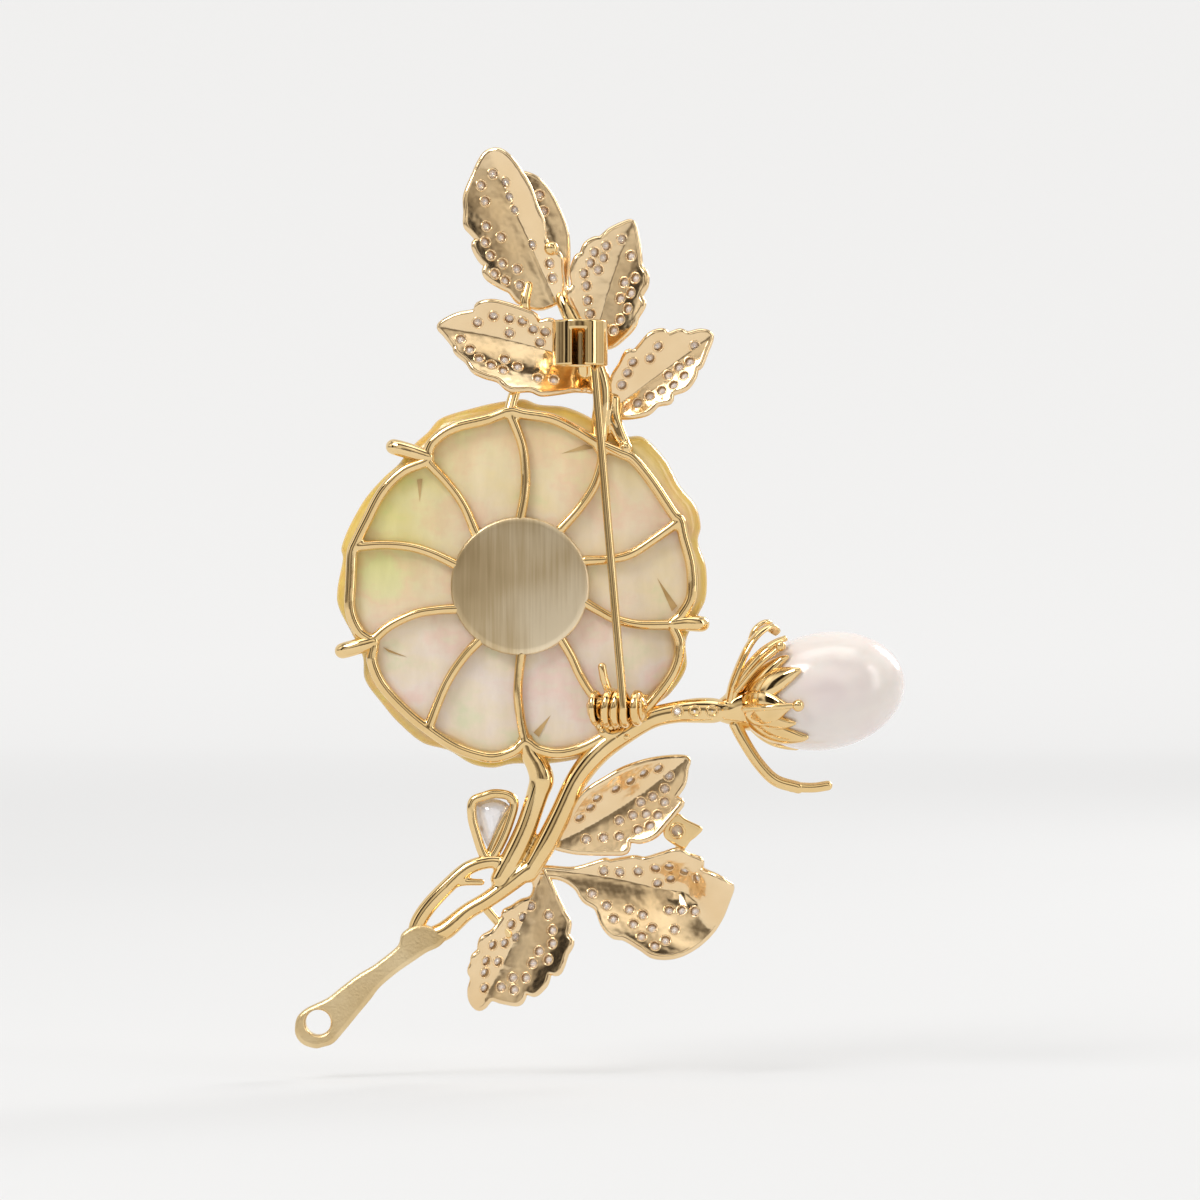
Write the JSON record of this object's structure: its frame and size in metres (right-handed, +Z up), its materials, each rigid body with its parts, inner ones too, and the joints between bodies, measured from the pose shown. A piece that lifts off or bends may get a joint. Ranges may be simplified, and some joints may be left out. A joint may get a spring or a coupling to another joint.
{
  "type": "brooch",
  "caption": "Gold-plated flower-spray brooch: carved mother-of-pearl flower, stone-set leaves, pearl bud and a hinged pin that closes into a tube catch.",
  "frame": {"origin": "centre of the hub disc's flat back face", "axes": "+Z up as worn, +Y out of the back towards the wearer, the flower faces -Y"},
  "size_m": [0.0458, 0.011, 0.0674],
  "materials": {
    "polished_gold": "pale yellow gold plating over brass, polished",
    "brushed_gold": "pale gold plating, fine brushed lines, satin",
    "grained_gold": "pale gold plating, fine cast grain, satin",
    "mother_of_pearl": "carved mother-of-pearl, pearly sheen, polished",
    "pearl": "pinkish white pearl, satin lustre",
    "clear_stone": "clear cut stone, polished",
    "lilac_stone": "pale lilac cut stone, polished"
  },
  "bodies": {
    "spray": {"back_sepals": "polished_gold", "bezel_post": "polished_gold", "boss_stones": "clear_stone", "bottom_leaf": "polished_gold", "bottom_stones": "clear_stone", "branch_stones": "clear_stone", "bud_branch": "polished_gold", "cage_rim": "polished_gold", "cage_spokes": "polished_gold", "calyx_cup": "polished_gold", "catch_post": "polished_gold", "catch_tube": "polished_gold", "claws": "polished_gold", "curled_sepal": "polished_gold", "flower_boss": "polished_gold", "flower_shell": "mother_of_pearl", "flower_trunk": "polished_gold", "fork_branch": "polished_gold", "front_sepals": "polished_gold", "granule": "polished_gold", "hinge_rivet": "polished_gold", "hub_disc": "brushed_gold", "joint_base": "polished_gold", "joint_ears": "polished_gold", "leaf_rod": "polished_gold", "leaf_stalk": "polished_gold", "leaf_strut": "polished_gold", "left_leaf": "polished_gold", "left_stones": "clear_stone", "loop_branch": "polished_gold", "lower_curl_leaf": "polished_gold", "lower_curl_stones": "clear_stone", "lower_fold_leaf": "polished_gold", "lower_fold_stones": "clear_stone", "main_stem": "grained_gold", "pear_bezel": "polished_gold", "pear_stone": "lilac_stone", "pearl": "pearl", "pearl_peg": "polished_gold", "right_leaf": "polished_gold", "right_stones": "clear_stone", "round_bezel": "polished_gold", "round_stone": "clear_stone", "stalk_bead": "polished_gold", "stamens": "polished_gold", "tendril": "polished_gold", "top_back_leaf": "polished_gold", "top_back_stones": "clear_stone", "top_leaf": "polished_gold", "top_stem": "polished_gold", "top_stones": "clear_stone", "top_strut": "polished_gold", "twig_spur": "polished_gold", "upper_right_leaf": "polished_gold", "upper_right_stones": "clear_stone"},
    "pin": {"pin_wire": "polished_gold"}
  },
  "joints": [
    {"name": "pin_swing", "type": "hinge", "parent": "spray", "child": "pin", "pos_m": [-0.00736, 0.0019, -0.0091], "axis": [-0.9659, 0.2588, 0], "range_deg": [0, 80]}
  ]
}
